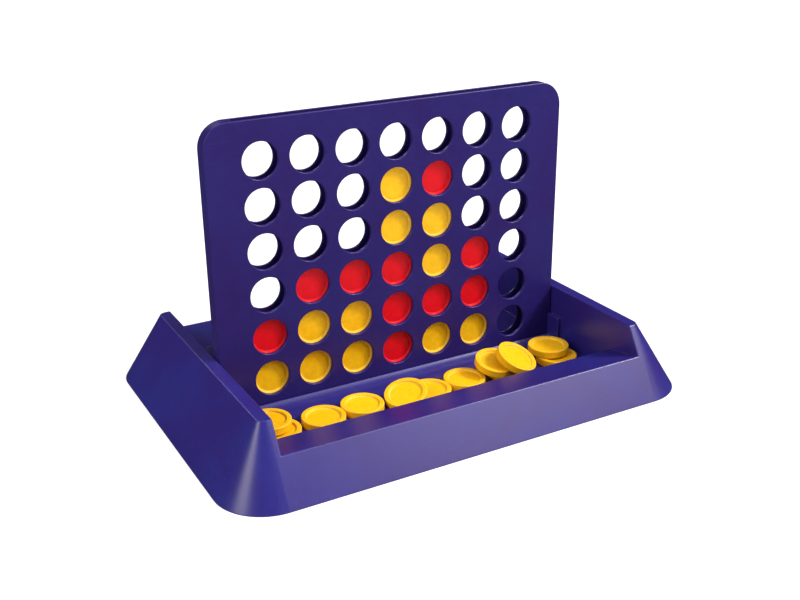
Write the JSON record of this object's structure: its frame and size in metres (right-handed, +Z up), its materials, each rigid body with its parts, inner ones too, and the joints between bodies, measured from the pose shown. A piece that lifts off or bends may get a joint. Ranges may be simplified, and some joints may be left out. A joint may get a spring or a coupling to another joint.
{
  "type": "four in a row game frame",
  "caption": "Upright slotted grid that plugs into a tapered storage tray; round counters drop down its columns and lie loose in the troughs in front and behind.",
  "frame": {"origin": "centre of the tray's underside, at table level", "axes": "+X along the grid to the players' right, +Y to the back, +Z up"},
  "size_m": [0.3626, 0.26, 0.214],
  "materials": {
    "tray_plastic": "satin moulded plastic, deep violet blue",
    "grid_plastic": "satin moulded plastic, dark violet blue",
    "yellow_plastic": "smooth moulded plastic, warm yellow",
    "red_plastic": "smooth moulded plastic, bright red"
  },
  "bodies": {
    "tray": {"tray": "tray_plastic"},
    "grid": {"grid_front_panel": "grid_plastic", "grid_rear_panel": "grid_plastic"},
    "red_counter_column_1_row_5": {"red_counter_column_1_row_5": "red_plastic"},
    "red_counter_column_2_row_4": {"red_counter_column_2_row_4": "red_plastic"},
    "red_counter_column_3_row_4": {"red_counter_column_3_row_4": "red_plastic"},
    "red_counter_column_4_row_4": {"red_counter_column_4_row_4": "red_plastic"},
    "red_counter_column_4_row_5": {"red_counter_column_4_row_5": "red_plastic"},
    "red_counter_column_4_row_6": {"red_counter_column_4_row_6": "red_plastic"},
    "red_counter_column_5_row_2": {"red_counter_column_5_row_2": "red_plastic"},
    "red_counter_column_5_row_5": {"red_counter_column_5_row_5": "red_plastic"},
    "red_counter_column_6_row_4": {"red_counter_column_6_row_4": "red_plastic"},
    "red_counter_column_6_row_5": {"red_counter_column_6_row_5": "red_plastic"},
    "red_counter_rear_01": {"red_counter_rear_01": "red_plastic"},
    "red_counter_rear_02": {"red_counter_rear_02": "red_plastic"},
    "red_counter_rear_03_on_02": {"red_counter_rear_03_on_02": "red_plastic"},
    "red_counter_rear_04": {"red_counter_rear_04": "red_plastic"},
    "red_counter_rear_05": {"red_counter_rear_05": "red_plastic"},
    "red_counter_rear_06_on_05": {"red_counter_rear_06_on_05": "red_plastic"},
    "red_counter_rear_07": {"red_counter_rear_07": "red_plastic"},
    "red_counter_rear_08_on_07": {"red_counter_rear_08_on_07": "red_plastic"},
    "red_counter_rear_09": {"red_counter_rear_09": "red_plastic"},
    "red_counter_rear_10": {"red_counter_rear_10": "red_plastic"},
    "red_counter_rear_11_on_10": {"red_counter_rear_11_on_10": "red_plastic"},
    "yellow_counter_column_1_row_6": {"yellow_counter_column_1_row_6": "yellow_plastic"},
    "yellow_counter_column_2_row_5": {"yellow_counter_column_2_row_5": "yellow_plastic"},
    "yellow_counter_column_2_row_6": {"yellow_counter_column_2_row_6": "yellow_plastic"},
    "yellow_counter_column_3_row_5": {"yellow_counter_column_3_row_5": "yellow_plastic"},
    "yellow_counter_column_3_row_6": {"yellow_counter_column_3_row_6": "yellow_plastic"},
    "yellow_counter_column_4_row_2": {"yellow_counter_column_4_row_2": "yellow_plastic"},
    "yellow_counter_column_4_row_3": {"yellow_counter_column_4_row_3": "yellow_plastic"},
    "yellow_counter_column_5_row_3": {"yellow_counter_column_5_row_3": "yellow_plastic"},
    "yellow_counter_column_5_row_4": {"yellow_counter_column_5_row_4": "yellow_plastic"},
    "yellow_counter_column_5_row_6": {"yellow_counter_column_5_row_6": "yellow_plastic"},
    "yellow_counter_column_6_row_6": {"yellow_counter_column_6_row_6": "yellow_plastic"},
    "yellow_counter_front_01": {"yellow_counter_front_01": "yellow_plastic"},
    "yellow_counter_front_02_on_01": {"yellow_counter_front_02_on_01": "yellow_plastic"},
    "yellow_counter_front_03": {"yellow_counter_front_03": "yellow_plastic"},
    "yellow_counter_front_04": {"yellow_counter_front_04": "yellow_plastic"},
    "yellow_counter_front_05": {"yellow_counter_front_05": "yellow_plastic"},
    "yellow_counter_front_06_on_05": {"yellow_counter_front_06_on_05": "yellow_plastic"},
    "yellow_counter_front_07": {"yellow_counter_front_07": "yellow_plastic"},
    "yellow_counter_front_08": {"yellow_counter_front_08": "yellow_plastic"},
    "yellow_counter_front_09_on_08": {"yellow_counter_front_09_on_08": "yellow_plastic"},
    "yellow_counter_front_10_on_09": {"yellow_counter_front_10_on_09": "yellow_plastic"},
    "yellow_counter_front_11": {"yellow_counter_front_11": "yellow_plastic"},
    "yellow_counter_front_12_on_11": {"yellow_counter_front_12_on_11": "yellow_plastic"}
  },
  "joints": [
    {"name": "grid_lift", "type": "slide", "parent": "tray", "child": "grid", "axis": [0, 0, 1], "range_m": [0, 0.06]},
    {"name": "column_1_row_6_counter_lift", "type": "slide", "parent": "tray", "child": "yellow_counter_column_1_row_6", "axis": [0, 0, 1], "range_m": [0, 0.208]},
    {"name": "column_1_row_5_counter_lift", "type": "slide", "parent": "yellow_counter_column_1_row_6", "child": "red_counter_column_1_row_5", "axis": [0, 0, 1], "range_m": [0, 0.177]},
    {"name": "column_2_row_6_counter_lift", "type": "slide", "parent": "tray", "child": "yellow_counter_column_2_row_6", "axis": [0, 0, 1], "range_m": [0, 0.208]},
    {"name": "column_2_row_5_counter_lift", "type": "slide", "parent": "yellow_counter_column_2_row_6", "child": "yellow_counter_column_2_row_5", "axis": [0, 0, 1], "range_m": [0, 0.177]},
    {"name": "column_2_row_4_counter_lift", "type": "slide", "parent": "yellow_counter_column_2_row_5", "child": "red_counter_column_2_row_4", "axis": [0, 0, 1], "range_m": [0, 0.145]},
    {"name": "column_3_row_6_counter_lift", "type": "slide", "parent": "tray", "child": "yellow_counter_column_3_row_6", "axis": [0, 0, 1], "range_m": [0, 0.208]},
    {"name": "column_3_row_5_counter_lift", "type": "slide", "parent": "yellow_counter_column_3_row_6", "child": "yellow_counter_column_3_row_5", "axis": [0, 0, 1], "range_m": [0, 0.177]},
    {"name": "column_3_row_4_counter_lift", "type": "slide", "parent": "yellow_counter_column_3_row_5", "child": "red_counter_column_3_row_4", "axis": [0, 0, 1], "range_m": [0, 0.145]},
    {"name": "column_4_row_6_counter_lift", "type": "slide", "parent": "tray", "child": "red_counter_column_4_row_6", "axis": [0, 0, 1], "range_m": [0, 0.208]},
    {"name": "column_4_row_5_counter_lift", "type": "slide", "parent": "red_counter_column_4_row_6", "child": "red_counter_column_4_row_5", "axis": [0, 0, 1], "range_m": [0, 0.177]},
    {"name": "column_4_row_4_counter_lift", "type": "slide", "parent": "red_counter_column_4_row_5", "child": "red_counter_column_4_row_4", "axis": [0, 0, 1], "range_m": [0, 0.145]},
    {"name": "column_4_row_3_counter_lift", "type": "slide", "parent": "red_counter_column_4_row_4", "child": "yellow_counter_column_4_row_3", "axis": [0, 0, 1], "range_m": [0, 0.113]},
    {"name": "column_4_row_2_counter_lift", "type": "slide", "parent": "yellow_counter_column_4_row_3", "child": "yellow_counter_column_4_row_2", "axis": [0, 0, 1], "range_m": [0, 0.082]},
    {"name": "column_5_row_6_counter_lift", "type": "slide", "parent": "tray", "child": "yellow_counter_column_5_row_6", "axis": [0, 0, 1], "range_m": [0, 0.208]},
    {"name": "column_5_row_5_counter_lift", "type": "slide", "parent": "yellow_counter_column_5_row_6", "child": "red_counter_column_5_row_5", "axis": [0, 0, 1], "range_m": [0, 0.177]},
    {"name": "column_5_row_4_counter_lift", "type": "slide", "parent": "red_counter_column_5_row_5", "child": "yellow_counter_column_5_row_4", "axis": [0, 0, 1], "range_m": [0, 0.145]},
    {"name": "column_5_row_3_counter_lift", "type": "slide", "parent": "yellow_counter_column_5_row_4", "child": "yellow_counter_column_5_row_3", "axis": [0, 0, 1], "range_m": [0, 0.113]},
    {"name": "column_5_row_2_counter_lift", "type": "slide", "parent": "yellow_counter_column_5_row_3", "child": "red_counter_column_5_row_2", "axis": [0, 0, 1], "range_m": [0, 0.082]},
    {"name": "column_6_row_6_counter_lift", "type": "slide", "parent": "tray", "child": "yellow_counter_column_6_row_6", "axis": [0, 0, 1], "range_m": [0, 0.208]},
    {"name": "column_6_row_5_counter_lift", "type": "slide", "parent": "yellow_counter_column_6_row_6", "child": "red_counter_column_6_row_5", "axis": [0, 0, 1], "range_m": [0, 0.177]},
    {"name": "column_6_row_4_counter_lift", "type": "slide", "parent": "red_counter_column_6_row_5", "child": "red_counter_column_6_row_4", "axis": [0, 0, 1], "range_m": [0, 0.145]},
    {"name": "rear_01_counter_lift", "type": "slide", "parent": "tray", "child": "red_counter_rear_01", "axis": [0, 0, 1], "range_m": [0, 0.06]},
    {"name": "rear_02_counter_lift", "type": "slide", "parent": "tray", "child": "red_counter_rear_02", "axis": [0, 0, 1], "range_m": [0, 0.06]},
    {"name": "rear_03_counter_lift", "type": "slide", "parent": "red_counter_rear_02", "child": "red_counter_rear_03_on_02", "axis": [0, 0, 1], "range_m": [0, 0.06]},
    {"name": "rear_04_counter_lift", "type": "slide", "parent": "tray", "child": "red_counter_rear_04", "axis": [0, 0, 1], "range_m": [0, 0.06]},
    {"name": "rear_05_counter_lift", "type": "slide", "parent": "tray", "child": "red_counter_rear_05", "axis": [0, 0, 1], "range_m": [0, 0.06]},
    {"name": "rear_06_counter_lift", "type": "slide", "parent": "red_counter_rear_05", "child": "red_counter_rear_06_on_05", "axis": [0, 0, 1], "range_m": [0, 0.06]},
    {"name": "rear_07_counter_lift", "type": "slide", "parent": "tray", "child": "red_counter_rear_07", "axis": [0, 0, 1], "range_m": [0, 0.06]},
    {"name": "rear_08_counter_lift", "type": "slide", "parent": "red_counter_rear_07", "child": "red_counter_rear_08_on_07", "axis": [0, 0, 1], "range_m": [0, 0.06]},
    {"name": "rear_09_counter_lift", "type": "slide", "parent": "tray", "child": "red_counter_rear_09", "axis": [0, 0, 1], "range_m": [0, 0.06]},
    {"name": "rear_10_counter_lift", "type": "slide", "parent": "tray", "child": "red_counter_rear_10", "axis": [0, 0, 1], "range_m": [0, 0.06]},
    {"name": "rear_11_counter_lift", "type": "slide", "parent": "red_counter_rear_10", "child": "red_counter_rear_11_on_10", "axis": [0, 0, 1], "range_m": [0, 0.06]},
    {"name": "front_01_counter_lift", "type": "slide", "parent": "tray", "child": "yellow_counter_front_01", "axis": [0, 0, 1], "range_m": [0, 0.06]},
    {"name": "front_02_counter_lift", "type": "slide", "parent": "yellow_counter_front_01", "child": "yellow_counter_front_02_on_01", "axis": [0, 0, 1], "range_m": [0, 0.06]},
    {"name": "front_03_counter_lift", "type": "slide", "parent": "tray", "child": "yellow_counter_front_03", "axis": [0, 0, 1], "range_m": [0, 0.06]},
    {"name": "front_04_counter_lift", "type": "slide", "parent": "tray", "child": "yellow_counter_front_04", "axis": [0, 0, 1], "range_m": [0, 0.06]},
    {"name": "front_05_counter_lift", "type": "slide", "parent": "tray", "child": "yellow_counter_front_05", "axis": [0, 0, 1], "range_m": [0, 0.06]},
    {"name": "front_06_counter_lift", "type": "slide", "parent": "yellow_counter_front_05", "child": "yellow_counter_front_06_on_05", "axis": [0, 0, 1], "range_m": [0, 0.06]},
    {"name": "front_07_counter_lift", "type": "slide", "parent": "tray", "child": "yellow_counter_front_07", "axis": [0, 0, 1], "range_m": [0, 0.06]},
    {"name": "front_08_counter_lift", "type": "slide", "parent": "yellow_counter_front_07", "child": "yellow_counter_front_08", "axis": [0, 0, 1], "range_m": [0, 0.06]},
    {"name": "front_09_counter_lift", "type": "slide", "parent": "yellow_counter_front_08", "child": "yellow_counter_front_09_on_08", "axis": [0, 0, 1], "range_m": [0, 0.06]},
    {"name": "front_10_counter_lift", "type": "slide", "parent": "yellow_counter_front_09_on_08", "child": "yellow_counter_front_10_on_09", "axis": [0, 0, 1], "range_m": [0, 0.06]},
    {"name": "front_11_counter_lift", "type": "slide", "parent": "tray", "child": "yellow_counter_front_11", "axis": [0, 0, 1], "range_m": [0, 0.06]},
    {"name": "front_12_counter_lift", "type": "slide", "parent": "yellow_counter_front_11", "child": "yellow_counter_front_12_on_11", "axis": [0, 0, 1], "range_m": [0, 0.06]}
  ]
}
